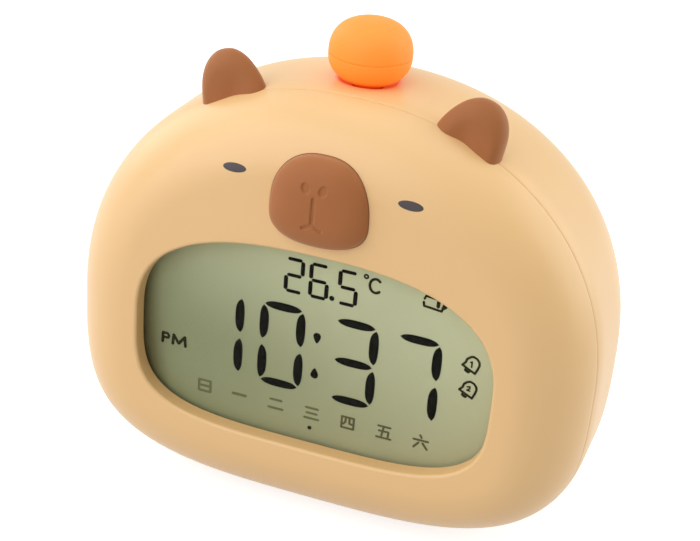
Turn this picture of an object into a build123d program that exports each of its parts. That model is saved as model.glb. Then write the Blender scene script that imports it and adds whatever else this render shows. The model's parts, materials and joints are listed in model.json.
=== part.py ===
"""Bedside alarm clock with an animal face and an orange night light, as an assembly.

The clock faces -Y and stands on four rubber feet at Z = 0, with X = 0 and Y = 0 at the
middle of its overall box. Depths are measured back from the flat of the face, and
heights are measured up from the table. All sizes are in millimetres.
"""
from build123d import *
from math import copysign, cos, hypot, pi, radians, sin
import os

# ---- case ----
case_half_width = 62.0
case_level = 45.1            # height of the widest line of the outline
case_rise = 57.7             # from there up to the crown
case_rise_power = 2.15       # 2 is an ellipse, more is squarer
case_drop = 44.1             # from there down to the belly
case_drop_power = 3.25
case_depth = 51.3
wall = 2.2
seam_depth = 14.0            # parting plane of the two shells
front_round = 17.5           # rounding from the face to the sides
straight_depth = 18.5        # where the sides start to draw in
back_draw = 2.4              # how far the sides draw in by the back
back_round = 8.0
outline_points = 24
rear_sections = 3
overrun = 1.0                # how far a cutting tool runs past the surface it opens
hole_gap = 0.2               # room round a fixing screw in a board, and round a moving cap

# ---- display ----
window_half_width = 42.0
window_level = 45.8
window_rise = 24.2
window_rise_power = 2.6
window_drop = 24.1
window_drop_power = 4.2
window_recess = 3.8          # from the face back to the lens
window_lip = 0.8
collar_width = 2.4
lens_lap = 1.6
lens_thick = 0.8
gasket_thick = 0.3
gasket_width = 0.9
glass_width = 87.0
glass_low = 20.3
glass_high = 70.9
plate_thick = 1.0            # one of the two plates of the display
contact_ledge = 3.5          # strip of the front plate that the elastomer touches
guide_gap = 0.1
guide_thick = 2.6
guide_width = 84.0
guide_margin = 1.0
zebra_from_edge = 0.3        # of the glass
zebra_height = 2.5
holder_wall = 1.4
holder_gap = 0.15
holder_corner = 2.5

# ---- boards ----
board_thick = 1.6
main_board_depth = 11.5      # front side of the main board
main_board_half_width = 51.0
main_board_low = 19.0
main_board_high = 73.0
main_board_corner = 3.0
tab_half_width = 13.0
tab_high = 93.0
tab_overlap = 5.0
board_post_radius = 2.3
pilot_radius = 1.0
board_posts = [(side * 48.2, height) for side in (-1, 1) for height in (33.0, 57.0)]
key_board_depth = 40.4
key_board_half_width = 34.0
key_board_low = 53.0
key_board_high = 85.5
key_posts = [(side * 31.5, height) for side in (-1, 1) for height in (55.5, 82.5)]
chip_side = 12.0
chip_place = (-22.0, 44.0)
chip_thick = 1.6
chip_edge = 0.3
ribbon_socket = (16.0, 4.0, 2.2)           # across, upwards, off the board
ribbon_socket_heights = (66.0, 63.0)       # on the main board and on the key board
ribbon_half_width = 6.5
ribbon_thick = 0.3
ribbon_low = 49.0
ribbon_bend = 6.0

# ---- nose ----
nose_half_width = 11.2
nose_level = 79.7
nose_rise = 13.35
nose_rise_power = 2.48
nose_drop = 6.95
nose_drop_power = 2.4
nose_proud = 4.0
nose_round = 3.6
nose_back = 5.0
nose_gap = 0.25
nose_travel = 1.2
nose_stem_radius = 2.5
nose_lug_reach = 1.8         # past the widest line, behind the front wall
nose_lug_root = 1.5
nose_lug_half_height = 2.5
nose_lug_gap = 0.3
engraving = 0.45
nostril_x = 1.95
nostril_z = 87.1
nostril_half_size = (0.7, 1.15)
nostril_lean = 25.0
nose_line_high = 85.0
nose_line_low = 79.2
mouth_half_width = 2.0
mouth_z = 78.1
groove_width = 0.8

# ---- ears and eyes ----
ear_front = 12.0
ear_back = 19.0
ear_round = 3.0
ear_profile = [
    (19.2, 99.0), (20.3, 101.3), (22.9, 104.2), (25.4, 106.1), (28.7, 106.8),
    (32.0, 105.7), (34.2, 103.0), (34.8, 99.5), (34.2, 95.0), (33.6, 92.0),
]
ear_hollow_radius = 10.0
ear_hollow_deep = 0.9
ear_hollow_place = (26.8, 99.0)
ear_tongue = (23.5, 30.5, 13.2, 17.0)      # x from, x to, depth from, depth to
ear_tongue_high = 101.0
ear_foot = (22.5, 31.5, 13.4, 15.8)
ear_foot_low = 90.3
ear_foot_high = 92.3
ear_slot_gap = 0.1
eye_x = 19.8
eye_z = 86.4
eye_half_width = 2.65
eye_half_height = 1.1
eye_back = 3.4
eye_gap = 0.05

# ---- night light ----
lamp_depth = 25.7
lamp_level = 108.4           # height of its widest line, where dome and base meet
lamp_radius = 9.25
lamp_rise = 7.9
lamp_rise_power = 2.44
lamp_drop = 6.9
lamp_drop_power = 2.2
lamp_wall = 1.4
lamp_curve_steps = 8
neck_radius = 3.4
neck_bore = 2.4
neck_low = 94.0
neck_into_base = 0.6
neck_hole_radius = 3.7
lamp_dish_gap = (0.35, 0.75)               # room round and under the base, for its travel
lamp_boss_radius = 8.5
lamp_boss_low = 99.9
clip_radius = 5.4
clip_gap = 0.05
clip_thick = 1.2
clip_high = 99.6
finger_reach = 9.4           # of the finger at the foot of the neck, over its switch
finger_half_depth = 2.0
finger_thick = 1.2
light_board_low = 89.0
light_board_thick = 1.2
light_board_half_width = 16.0
light_board_half_depth = 6.0
light_post_x = 13.0
light_pilot_deep = 6.0
light_switch_x = 7.2
light_switch_half = 2.5
light_switch_high = 3.0
light_switch_floor = 0.5
light_bore = 1.45
light_plunger_radius = 1.3
light_plunger_foot = 1.4
led_half = 1.6
led_high = 1.0
led_edge = 0.3

# ---- switches, keys, socket on the back ----
switch_side = 6.0
switch_high = 3.4
switch_floor = 0.5
switch_edge = 0.5
plunger_radius = 1.6
plunger_bore = 1.75
plunger_proud = 1.6
key_z = 75.0
key_pitch = 16.0
key_width = 12.0
key_height = 6.4
key_proud = 1.0
key_edge = 0.6
key_flange = 1.2
key_stem_radius = 2.0
flange_depth = 48.8          # outer side of the flange, just inside the wall
flange_thick = 1.0
flange_corner = 2.0
cap_root = 0.5               # how far a cap reaches into its flange
hair = 0.01                  # keeps a round end from closing on itself
low_row_z = 59.0
slide_x = 20.0
slide_travel = 1.5           # each way
slide_knob = (3.4, 3.0)
slide_knob_proud = 0.8
slide_knob_edge = 0.4
slide_flange = (2.2, 0.9)    # past the knob, across and upwards
slide_body = (6.0, 3.0, 3.6)               # half width, half height, off the board
slide_groove_half = 1.2
slide_groove_floor = 1.2
slide_tongue = (1.4, 1.0, 1.6)             # half width, half height, off the board
socket_x = -20.0
socket_size = (9.0, 3.2)
socket_sheet = 0.3
socket_gap = 0.4
socket_set_in = 0.7
socket_bore_deep = 6.2
socket_tongue = (3.3, 0.35, 0.8)           # half width, half height, behind the mouth
socket_tongue_root = 0.2
sensor_x = -30.0
sensor_drop = 4.0
sensor_radius = 1.3
sensor_wire_radius = 0.25
sensor_wire_half_pitch = 0.5

# ---- speaker, battery, feet, screws ----
speaker_z = 31.0
speaker_radius = 14.0
speaker_front = 44.4
speaker_magnet_share = 0.62
speaker_step = 2.6           # length of the magnet
speaker_web = 0.6
speaker_rim = 1.4
cone_thick = 0.4
cone_cap_share = 0.3
cone_cap_thick = 0.7
cone_gap = 0.1
speaker_foam = 0.8
speaker_cup_wall = 1.6
speaker_cup_gap = 0.2
grille_hole = 0.8
grille_pitch = 3.4
grille_rings = 3
cell_radius = 9.2
cell_length = 65.0
cell_edge = 0.8
cell_depth = 27.0
cell_z = 17.4
tray_gap = 0.1
tray_end_gap = 0.2
tray_half_length = 34.2
tray_low = 6.4
tray_high = 16.0
tray_half_depth = 11.5
rib_half_depth = 10.0
rib_half_thick = 1.0
rib_from_foot = 2.0
foot_radius = 4.0
foot_gap = 0.05
foot_edge = 0.3
foot_x = 26.0
foot_depths = {"front": 20.0, "rear": 39.0}
foot_tops = {"front": 3.1, "rear": 4.2}
foot_cup_wall = 1.5
foot_cup_roof = 1.6
case_posts = [(side * x, z) for side in (-1, 1) for (x, z) in ((42.0, 13.0), (38.0, 81.0))]
case_post_radius = 3.5
case_thread_gap = 0.05
case_screw_gap = 0.3
screw_head_radius = 2.5
screw_head_high = 2.0
screw_radius = 1.3
screw_seat_depth = 20.0
screw_tip_depth = 9.5
screw_tip_gap = 0.5
cross_half_length = 1.6
cross_half_width = 0.3
cross_deep = 0.8
small_head_radius = 1.9
small_head_high = 1.4
small_screw_radius = 0.95
small_screw_bite = 5.0
small_pilot_deep = 5.5
key_screw_bite = 4.5

# The clock is centred front to back between its nose and its rear keys.
face_y = (nose_proud - key_proud - case_depth) / 2

lens_back = window_recess + lens_thick
glass_front = lens_back + gasket_thick
plate_back = glass_front + 2 * plate_thick
guide_front = plate_back + guide_gap
guide_low = glass_low + contact_ledge + guide_margin
key_board_back = key_board_depth + board_thick
light_board_top = light_board_low + light_board_thick
key_places = {
    "key_set": -1.5 * key_pitch,
    "key_alarm": -0.5 * key_pitch,
    "key_up": 0.5 * key_pitch,
    "key_down": 1.5 * key_pitch,
}


def at_depth(depth):
    """Upright plane at a depth behind the face; its normal points to the front."""
    return Plane.XZ.offset(-(face_y + depth))


def at_height(height):
    """Level plane at a height, with its origin under the lamp."""
    return Plane((0, face_y + lamp_depth, height))


def outline(half_width, level, rise, rise_power, drop, drop_power, inset=0.0):
    """Points of an egg-like closed outline, moved inward by inset along its normals."""
    points = []
    for index in range(outline_points):
        angle = 2 * pi * index / outline_points
        height, power = (rise, rise_power) if sin(angle) >= 0 else (drop, drop_power)
        x = half_width * copysign(abs(cos(angle)) ** (2 / power), cos(angle))
        z = height * copysign(abs(sin(angle)) ** (2 / power), sin(angle))
        normal_x = copysign(abs(x / half_width) ** (power - 1) / half_width, x)
        normal_z = copysign(abs(z / height) ** (power - 1) / height, z)
        length = hypot(normal_x, normal_z)
        points.append((x - inset * normal_x / length, level + z - inset * normal_z / length))
    return points


def case_outline(inset):
    return outline(case_half_width, case_level, case_rise, case_rise_power,
                   case_drop, case_drop_power, inset)


def window_outline(inset):
    return outline(window_half_width, window_level, window_rise, window_rise_power,
                   window_drop, window_drop_power, inset)


def nose_outline(inset):
    return outline(nose_half_width, nose_level, nose_rise, nose_rise_power,
                   nose_drop, nose_drop_power, inset)


def slab(points, front, back):
    """A plate with a smooth closed outline, from a front depth to a back depth."""
    with BuildPart() as plate:
        with BuildSketch(at_depth(back)):
            with BuildLine():
                Spline(*points, periodic=True)
            make_face()
        extrude(amount=back - front)
    return plate.part


def block(x_low, x_high, depth_front, depth_back, z_low, z_high):
    """A box given by its limits across, in depth and in height."""
    with BuildPart() as box:
        with BuildSketch(at_depth(depth_back)):
            with Locations(((x_low + x_high) / 2, (z_low + z_high) / 2)):
                Rectangle(x_high - x_low, z_high - z_low)
        extrude(amount=depth_back - depth_front)
    return box.part


def side_block(side, x_near, x_far, depth_front, depth_back, z_low, z_high):
    """A box given for the right side, made on the left or right side."""
    x_low, x_high = sorted((side * x_near, side * x_far))
    return block(x_low, x_high, depth_front, depth_back, z_low, z_high)


def rod(places, radius, front, back):
    """Round bars along the depth, one at each place."""
    with BuildPart() as bars:
        with BuildSketch(at_depth(back)):
            with Locations(*places):
                Circle(radius)
        extrude(amount=back - front)
    return bars.part


def column(x, radius, low, high):
    """An upright round bar at the lamp's depth."""
    with BuildPart() as bar:
        with BuildSketch(at_height(low)):
            with Locations((x, 0)):
                Circle(radius)
        extrude(amount=high - low)
    return bar.part


def case_body(inset):
    """The whole case as one solid, or with an inset the space inside it."""
    with BuildPart() as body:
        with BuildSketch(at_depth(straight_depth)):
            with BuildLine():
                Spline(*case_outline(inset), periodic=True)
            make_face()
        extrude(amount=straight_depth - inset)
        fillet(body.edges().group_by(Axis.Y)[0], radius=front_round - inset)
        for index in range(rear_sections):
            share = index / (rear_sections - 1)
            depth = straight_depth + share * (case_depth - inset - straight_depth)
            with BuildSketch(at_depth(depth)):
                with BuildLine():
                    Spline(*case_outline(inset + back_draw * share**2), periodic=True)
                make_face()
        loft()
        fillet(body.edges().group_by(Axis.Y)[-1], radius=back_round - inset)
    return body.part


def save(shape, name):
    """Labels a finished piece and writes its file."""
    shape.label = name
    export_step(shape, f"parts/{name}.step")


# ---- case shells ----

def front_supports():
    """Collar round the window, nose guide and posts inside the front shell."""
    with BuildPart() as supports:
        add(slab(window_outline(-collar_width), wall / 2, window_recess))
        add(slab(nose_outline(-nose_gap - wall / 2), wall / 2, window_recess))
        add(rod(board_posts, board_post_radius, wall / 2, main_board_depth))
        add(rod(case_posts, case_post_radius, wall / 2, seam_depth))
        add(case_outer, mode=Mode.INTERSECT)
    return supports.part


def make_front_shell():
    with BuildPart() as front_shell:
        add(case_outer)
        add(case_inner, mode=Mode.SUBTRACT)
        split(bisect_by=at_depth(seam_depth), keep=Keep.TOP)
        add(front_supports())
        add(slab(window_outline(0), -overrun, window_recess + overrun), mode=Mode.SUBTRACT)
        add(slab(nose_outline(-nose_gap), -overrun, nose_back + nose_travel), mode=Mode.SUBTRACT)
        add(rod(board_posts, pilot_radius, main_board_depth - small_pilot_deep, main_board_depth),
            mode=Mode.SUBTRACT)
        add(rod(case_posts, screw_radius + case_thread_gap, screw_tip_depth - screw_tip_gap, seam_depth),
            mode=Mode.SUBTRACT)
        for side in (-1, 1):
            add(eye_plug(side, eye_gap), mode=Mode.SUBTRACT)
            add(ear_slot(side), mode=Mode.SUBTRACT)
        lip = front_shell.faces().filter_by(Plane.XZ).sort_by(Axis.Y)[0].inner_wires()
        window_rim = max(lip, key=lambda wire: wire.length)
        fillet(window_rim.edges(), radius=window_lip)
    save(front_shell.part, "front_shell")


def rear_supports():
    """Posts, ribs and bosses inside the rear shell."""
    inner_back = case_depth - wall / 2
    cup_front = speaker_front + speaker_foam
    speaker_place = [(0, speaker_z)]
    with BuildPart() as supports:
        add(rod(case_posts, case_post_radius, seam_depth, inner_back))
        add(rod(key_posts, board_post_radius, key_board_back, inner_back))
        add(rod(speaker_place, speaker_radius + speaker_cup_wall, cup_front, inner_back))
        add(rod(speaker_place, speaker_radius + speaker_cup_gap, speaker_front, case_depth - wall),
            mode=Mode.SUBTRACT)
        add(column(0, lamp_boss_radius, lamp_boss_low, lamp_level))
        for side in (-1, 1):
            add(column(side * light_post_x, board_post_radius, light_board_top, lamp_level))
            rib_x = side * (foot_x - rib_from_foot)
            add(block(rib_x - rib_half_thick, rib_x + rib_half_thick,
                      cell_depth - rib_half_depth, cell_depth + rib_half_depth, 0, tray_low))
        for row in foot_depths:
            with BuildSketch(Plane.XY):
                with Locations(*foot_places(row)):
                    Circle(foot_radius + foot_cup_wall)
            extrude(amount=foot_tops[row] + foot_cup_roof)
        add(case_outer, mode=Mode.INTERSECT)
    return supports.part


def grille_places():
    """Centres of the speaker holes: one in the middle and rings of six, twelve and eighteen."""
    places = [(0.0, speaker_z)]
    for ring in range(1, grille_rings + 1):
        for index in range(6 * ring):
            angle = 2 * pi * index / (6 * ring)
            radius = ring * grille_pitch
            places.append((radius * cos(angle), speaker_z + radius * sin(angle)))
    return places


def back_openings():
    """What is cut through the back wall."""
    front = case_depth - wall - overrun
    back = case_depth + overrun
    slot_width = slide_knob[0] + 2 * slide_travel + 2 * hole_gap
    with BuildPart() as cuts:
        with BuildSketch(at_depth(back)):
            with Locations(*[(x, key_z) for x in key_places.values()]):
                RectangleRounded(key_width + 2 * hole_gap, key_height + 2 * hole_gap,
                                 key_height / 2 + hole_gap - hair)
            with Locations((slide_x, low_row_z)):
                Rectangle(slot_width, slide_knob[1] + 2 * hole_gap)
            with Locations((socket_x, low_row_z)):
                SlotOverall(socket_size[0] + 2 * socket_gap, socket_size[1] + 2 * socket_gap)
        extrude(amount=back - front)
        add(rod(grille_places(), grille_hole, front, back))
        add(rod(case_posts, screw_head_radius + case_screw_gap, screw_seat_depth, back))
        add(rod(case_posts, screw_radius + case_screw_gap, seam_depth - overrun, case_depth))
    return cuts.part


def foot_places(row):
    return [(side * foot_x, face_y + foot_depths[row]) for side in (-1, 1)]


def make_rear_shell():
    with BuildPart() as rear_shell:
        add(case_outer)
        add(case_inner, mode=Mode.SUBTRACT)
        split(bisect_by=at_depth(seam_depth), keep=Keep.BOTTOM)
        add(rear_supports())
        add(back_openings(), mode=Mode.SUBTRACT)
        add(rod(key_posts, pilot_radius, key_board_depth, key_board_back + small_screw_bite),
            mode=Mode.SUBTRACT)
        add(column(0, neck_hole_radius, lamp_boss_low - overrun, lamp_level), mode=Mode.SUBTRACT)
        add(lamp_bowl(lamp_radius + lamp_dish_gap[0], lamp_drop + lamp_dish_gap[1],
                      lamp_drop_power, -1), mode=Mode.SUBTRACT)
        for side in (-1, 1):
            add(ear_slot(side), mode=Mode.SUBTRACT)
            add(column(side * light_post_x, pilot_radius, light_board_low,
                       light_board_low + light_pilot_deep), mode=Mode.SUBTRACT)
        for row in foot_depths:
            with BuildSketch(Plane.XY):
                with Locations(*foot_places(row)):
                    Circle(foot_radius)
            extrude(amount=foot_tops[row], mode=Mode.SUBTRACT)
    save(rear_shell.part, "rear_shell")


# ---- face ----

def eye_plug(side, gap):
    """An oval peg through the front wall, cut flush with the face."""
    with BuildPart() as plug:
        with BuildSketch(at_depth(eye_back)):
            with Locations((side * eye_x, eye_z)):
                Ellipse(eye_half_width + gap, eye_half_height + gap)
        extrude(amount=eye_back + overrun)
        add(case_outer, mode=Mode.INTERSECT)
    return plug.part


def ear_slot(side):
    """The opening in the seam that an ear's tongue passes through."""
    near, far, front, back = ear_tongue
    return side_block(side, near - ear_slot_gap, far + ear_slot_gap, front - ear_slot_gap,
                      back + ear_slot_gap, ear_foot_high + ear_slot_gap, lamp_level)


def make_ear(side, name):
    """A cupped upright ear with a tongue through the seam and a foot behind the wall."""
    hollow_x, hollow_z = ear_hollow_place
    hollow_y = face_y + ear_front + ear_hollow_deep - ear_hollow_radius
    with BuildPart() as ear:
        with BuildSketch(at_depth(ear_back)):
            with BuildLine():
                Spline(*[(side * x, z) for x, z in ear_profile])
                Line((side * ear_profile[-1][0], ear_profile[-1][1]),
                     (side * ear_profile[0][0], ear_profile[0][1]))
            make_face()
        extrude(amount=ear_back - ear_front)
        rims = ear.faces().filter_by(Plane.XZ).edges().filter_by(GeomType.BSPLINE)
        fillet(rims, radius=ear_round)
        with Locations((side * hollow_x, hollow_y, hollow_z)):
            Sphere(ear_hollow_radius, mode=Mode.SUBTRACT)
        add(case_outer, mode=Mode.SUBTRACT)
        add(side_block(side, *ear_tongue, ear_foot_low, ear_tongue_high))
        add(side_block(side, *ear_foot, ear_foot_low, ear_foot_high))
    save(ear.part, name)


def make_eye(side, name):
    with BuildPart() as eye:
        add(eye_plug(side, 0.0))
    save(eye.part, name)


def make_nose_button():
    """The nose: a domed cap with engraved nostrils and mouth, side lugs and a stem."""
    inner_front = -nose_proud + wall
    with BuildPart() as nose_button:
        add(slab(nose_outline(0), -nose_proud, nose_back))
        fillet(nose_button.edges().group_by(Axis.Y)[0], radius=nose_round)
        add(slab(nose_outline(wall), inner_front, nose_back + overrun), mode=Mode.SUBTRACT)
        for side in (-1, 1):
            add(side_block(side, nose_half_width - nose_lug_root, nose_half_width + nose_lug_reach,
                           window_recess + nose_lug_gap, nose_back,
                           nose_level - nose_lug_half_height, nose_level + nose_lug_half_height))
        stem_back = main_board_depth - switch_high - plunger_proud
        add(rod([(0, nose_level)], nose_stem_radius, inner_front - hole_gap, stem_back))
        with BuildSketch(at_depth(-nose_proud + engraving)):
            for side in (-1, 1):
                with Locations(Location((side * nostril_x, nostril_z), side * -nostril_lean)):
                    Ellipse(*nostril_half_size)
            with BuildLine():
                Line((0, nose_line_high), (0, nose_line_low))
                Line((0, nose_line_low), (mouth_half_width, mouth_z))
                Line((0, nose_line_low), (-mouth_half_width, mouth_z))
            trace(line_width=groove_width)
        extrude(amount=engraving + overrun, mode=Mode.SUBTRACT)
    save(nose_button.part, "nose_button")


# ---- display stack ----

def make_display():
    """Lens, gasket, two-plate display, light guide and contact strip, front to back."""
    half_width = glass_width / 2
    half_guide = guide_width / 2
    zebra_low = glass_low + zebra_from_edge
    save(slab(window_outline(-lens_lap), window_recess, lens_back), "display_lens")
    with BuildPart() as lens_gasket:
        add(slab(window_outline(-lens_lap), lens_back, glass_front))
        add(slab(window_outline(gasket_width - lens_lap), lens_back, glass_front), mode=Mode.SUBTRACT)
    save(lens_gasket.part, "lens_gasket")
    with BuildPart() as lcd_glass:
        add(block(-half_width, half_width, glass_front, glass_front + plate_thick, glass_low, glass_high))
        add(block(-half_width, half_width, glass_front + plate_thick, plate_back,
                  glass_low + contact_ledge, glass_high))
    save(lcd_glass.part, "lcd_glass")
    save(block(-half_guide, half_guide, guide_front, guide_front + guide_thick,
               guide_low, glass_high - guide_margin), "light_guide")
    save(block(-half_guide, half_guide, glass_front + plate_thick, main_board_depth,
               zebra_low, zebra_low + zebra_height), "zebra_strip")


def make_lcd_holder():
    """A frame round the glass, with a plate behind the light guide and a slot for the strip."""
    half_width = glass_width / 2 + holder_gap
    low, high = glass_low - holder_gap, glass_high + holder_gap
    shelf_depth = guide_front + guide_thick + guide_gap
    slot_high = glass_low + 2 * zebra_from_edge + zebra_height
    with BuildPart() as lcd_holder:
        add(block(-half_width - holder_wall, half_width + holder_wall, glass_front, main_board_depth,
                  low - holder_wall, high + holder_wall))
        fillet(lcd_holder.edges().filter_by(Axis.Y), radius=holder_corner)
        add(block(-half_width, half_width, glass_front, shelf_depth, low, high), mode=Mode.SUBTRACT)
        add(block(-half_width, half_width, shelf_depth - overrun, main_board_depth,
                  glass_low, slot_high), mode=Mode.SUBTRACT)
    save(lcd_holder.part, "lcd_holder")


# ---- boards and switches ----

def make_main_board():
    back = main_board_depth + board_thick
    chip_x, chip_z = chip_place
    socket_across, socket_up, socket_off = ribbon_socket
    with BuildPart() as main_board:
        add(block(-main_board_half_width, main_board_half_width, main_board_depth, back,
                  main_board_low, main_board_high))
        chamfer(main_board.edges().filter_by(Axis.Y), length=main_board_corner)
        add(block(-tab_half_width, tab_half_width, main_board_depth, back,
                  main_board_high - tab_overlap, tab_high))
        add(rod(board_posts, small_screw_radius + hole_gap, main_board_depth, back), mode=Mode.SUBTRACT)
    save(main_board.part, "main_board")
    with BuildPart() as main_chip:
        add(block(chip_x - chip_side / 2, chip_x + chip_side / 2, back, back + chip_thick,
                  chip_z - chip_side / 2, chip_z + chip_side / 2))
        chamfer(main_chip.faces().sort_by(Axis.Y)[-1].edges(), length=chip_edge)
    save(main_chip.part, "main_chip")
    near_z, far_z = ribbon_socket_heights
    with BuildPart() as ribbon_sockets:
        add(block(-socket_across / 2, socket_across / 2, back, back + socket_off,
                  near_z - socket_up / 2, near_z + socket_up / 2))
        add(block(-socket_across / 2, socket_across / 2, key_board_depth - socket_off, key_board_depth,
                  far_z - socket_up / 2, far_z + socket_up / 2))
    save(ribbon_sockets.part, "ribbon_sockets")


def make_board_ribbon():
    """Flat cable that hangs in a loop between the sockets of the two boards."""
    near_z, far_z = [height - ribbon_socket[1] / 2 for height in ribbon_socket_heights]
    near = face_y + main_board_depth + board_thick + ribbon_socket[2] / 2
    far = face_y + key_board_depth - ribbon_socket[2] / 2
    with BuildPart() as board_ribbon:
        with BuildSketch(Plane.YZ):
            with BuildLine():
                FilletPolyline((near, near_z), (near, ribbon_low), (far, ribbon_low), (far, far_z),
                               radius=ribbon_bend)
            trace(line_width=ribbon_thick)
        extrude(amount=ribbon_half_width, both=True)
    save(board_ribbon.part, "board_ribbon")


def make_key_board():
    with BuildPart() as key_board:
        add(block(-key_board_half_width, key_board_half_width, key_board_depth, key_board_back,
                  key_board_low, key_board_high))
        add(rod(key_posts, small_screw_radius + hole_gap, key_board_depth, key_board_back),
            mode=Mode.SUBTRACT)
    save(key_board.part, "key_board")


def make_switch(name, x, z, base, towards_back):
    """A square tact switch on a board and its plunger, which leans on the button above it."""
    sign = 1 if towards_back else -1
    half = switch_side / 2
    top = base + sign * switch_high
    floor = base + sign * switch_floor
    tip = top + sign * plunger_proud
    foot = base + sign * (switch_high / 2)
    with BuildPart() as body:
        add(block(x - half, x + half, *sorted((base, top)), z - half, z + half))
        chamfer(body.edges().filter_by(Axis.Y), length=switch_edge)
        add(rod([(x, z)], plunger_bore, *sorted((floor, top + sign * overrun))), mode=Mode.SUBTRACT)
    save(body.part, f"{name}_switch")
    with BuildPart() as plunger:
        add(rod([(x, z)], plunger_radius, *sorted((foot, tip))))
    save(plunger.part, f"{name}_plunger")


def make_key(name, x):
    """A pill-shaped key cap with a flange behind the wall and a stem on its switch."""
    stem_front = key_board_back + switch_high + plunger_proud
    with BuildPart() as key:
        with BuildSketch(at_depth(case_depth + key_proud)):
            with Locations((x, key_z)):
                RectangleRounded(key_width, key_height, key_height / 2 - hair)
        extrude(amount=case_depth + key_proud - flange_depth + cap_root)
        fillet(key.edges().group_by(Axis.Y)[-1], radius=key_edge)
        with BuildSketch(at_depth(flange_depth)):
            with Locations((x, key_z)):
                RectangleRounded(key_width + 2 * key_flange, key_height + 2 * key_flange, flange_corner)
        extrude(amount=flange_thick)
        add(rod([(x, key_z)], key_stem_radius, stem_front, flange_depth))
    save(key.part, name)


def make_alarm_switch():
    """Slide switch: a body on the key board and a knob that shows through the back."""
    half_width, half_height, body_off = slide_body
    body_back = key_board_back + body_off
    half_slot = slide_knob[0] / 2 + slide_travel
    with BuildPart() as body:
        add(block(slide_x - half_width, slide_x + half_width, key_board_back, body_back,
                  low_row_z - half_height, low_row_z + half_height))
        add(block(slide_x - half_slot, slide_x + half_slot, key_board_back + slide_groove_floor,
                  body_back + overrun, low_row_z - slide_groove_half, low_row_z + slide_groove_half),
            mode=Mode.SUBTRACT)
    save(body.part, "alarm_switch_body")
    half_knob = slide_knob[0] / 2
    half_flange = half_knob + slide_flange[0]
    flange_up = slide_knob[1] / 2 + slide_flange[1]
    tongue_across, tongue_up, tongue_off = slide_tongue
    with BuildPart() as knob:
        add(block(slide_x - half_knob, slide_x + half_knob, flange_depth - cap_root,
                  case_depth + slide_knob_proud, low_row_z - slide_knob[1] / 2, low_row_z + slide_knob[1] / 2))
        chamfer(knob.faces().sort_by(Axis.Y)[-1].edges(), length=slide_knob_edge)
        add(block(slide_x - half_flange, slide_x + half_flange, flange_depth - flange_thick, flange_depth,
                  low_row_z - flange_up, low_row_z + flange_up))
        add(block(slide_x - tongue_across, slide_x + tongue_across, key_board_back + tongue_off,
                  flange_depth, low_row_z - tongue_up, low_row_z + tongue_up))
    save(knob.part, "alarm_switch_knob")


def make_usb_socket():
    """Charging socket: a metal sleeve with a tongue, behind the back wall."""
    mouth = case_depth - socket_set_in
    width, height = socket_size
    tongue_across, tongue_up, tongue_in = socket_tongue
    with BuildPart() as usb_socket:
        with BuildSketch(at_depth(mouth)):
            with Locations((socket_x, low_row_z)):
                SlotOverall(width, height)
        extrude(amount=mouth - key_board_back)
        with BuildSketch(at_depth(mouth)):
            with Locations((socket_x, low_row_z)):
                SlotOverall(width - 2 * socket_sheet, height - 2 * socket_sheet)
        extrude(amount=socket_bore_deep, mode=Mode.SUBTRACT)
        add(block(socket_x - tongue_across, socket_x + tongue_across,
                  mouth - socket_bore_deep - socket_tongue_root, mouth - tongue_in,
                  low_row_z - tongue_up, low_row_z + tongue_up))
    save(usb_socket.part, "usb_socket")


def make_sensor():
    """Bead thermistor on two wires under the key board."""
    wire_y = face_y + key_board_depth + board_thick / 2
    bead_z = key_board_low - sensor_drop
    with BuildPart() as sensor:
        for side in (-1, 1):
            with BuildSketch(Plane.XY.offset(bead_z)):
                with Locations((sensor_x + side * sensor_wire_half_pitch, wire_y)):
                    Circle(sensor_wire_radius)
            extrude(amount=sensor_drop)
        with Locations((sensor_x, wire_y, bead_z)):
            Sphere(sensor_radius)
    save(sensor.part, "temperature_sensor")


# ---- night light ----

def lamp_bowl(radius, height, power, sense):
    """Half of the lamp's form as a solid of revolution, up for sense 1 and down for -1."""
    plane = Plane((0, face_y + lamp_depth, lamp_level), x_dir=(1, 0, 0), z_dir=(0, -1, 0))
    curve = []
    for index in range(lamp_curve_steps):
        angle = radians(90 * index / lamp_curve_steps)
        across = radius * cos(angle) ** (2 / power)
        curve.append((across, sense * height * sin(angle) ** (2 / power)))
    curve.append((0, sense * height))
    with BuildPart() as bowl:
        with BuildSketch(plane):
            with BuildLine():
                Spline(*curve, tangents=((0, sense), (-1, 0)))
                Line(curve[-1], (0, 0))
                Line((0, 0), curve[0])
            make_face()
        revolve(axis=Axis((0, face_y + lamp_depth, 0), (0, 0, 1)))
    return bowl.part


def make_lamp():
    """Dome and base of the lamp, the neck that carries them and the clip that keeps the neck in."""
    with BuildPart() as lamp_dome:
        add(lamp_bowl(lamp_radius, lamp_rise, lamp_rise_power, 1))
        add(lamp_bowl(lamp_radius - lamp_wall, lamp_rise - lamp_wall, lamp_rise_power, 1),
            mode=Mode.SUBTRACT)
    save(lamp_dome.part, "lamp_dome")
    with BuildPart() as lamp_base:
        add(lamp_bowl(lamp_radius, lamp_drop, lamp_drop_power, -1))
        add(lamp_bowl(lamp_radius - lamp_wall, lamp_drop - lamp_wall, lamp_drop_power, -1),
            mode=Mode.SUBTRACT)
        add(column(0, neck_radius, neck_low, lamp_level - lamp_drop + neck_into_base))
        add(block(0, finger_reach, lamp_depth - finger_half_depth, lamp_depth + finger_half_depth,
                  neck_low, neck_low + finger_thick))
        add(column(0, neck_bore, neck_low - overrun, lamp_level), mode=Mode.SUBTRACT)
    save(lamp_base.part, "lamp_base")
    with BuildPart() as lamp_clip:
        add(column(0, clip_radius, clip_high - clip_thick, clip_high))
        add(column(0, neck_radius + clip_gap, clip_high - clip_thick, clip_high), mode=Mode.SUBTRACT)
    save(lamp_clip.part, "lamp_clip")


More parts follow.
